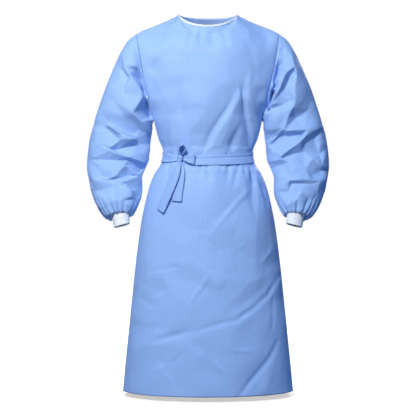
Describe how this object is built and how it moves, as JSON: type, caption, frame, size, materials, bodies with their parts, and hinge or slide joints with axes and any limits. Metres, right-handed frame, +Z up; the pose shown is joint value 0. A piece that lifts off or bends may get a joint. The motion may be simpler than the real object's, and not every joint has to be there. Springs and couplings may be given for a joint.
{
  "type": "surgical gown",
  "caption": "Calf-length surgical gown with puffed set-in sleeves, knit cuffs, a bound round neck and a tied waist belt, filled out as worn.",
  "frame": {"origin": "between the shoulders in the middle of the neck opening, level with the sides of the neck, where the gown hangs on its wearer", "axes": "+Z up, -Y the way the wearer faces, +X to the wearer's left"},
  "size_m": [0.7736, 0.304, 1.2037],
  "materials": {
    "nonwoven": "matt thermally bonded nonwoven",
    "strap": "folded matt nonwoven",
    "knit": "ribbed polyester knit",
    "tape": "folded soft nonwoven tape"
  },
  "bodies": {
    "root": {"front": "nonwoven", "back_left": "nonwoven", "back_right": "nonwoven", "sleeve_right": "nonwoven", "sleeve_left": "nonwoven", "cuff_right": "knit", "cuff_left": "knit", "neck_binding": "tape", "neck_tab": "strap", "waist_belt": "strap", "belt_knot": "strap", "bow_loop_up": "strap", "bow_loop_side": "strap", "tie_end_long": "strap", "tie_end_short": "strap"}
  },
  "joints": []
}
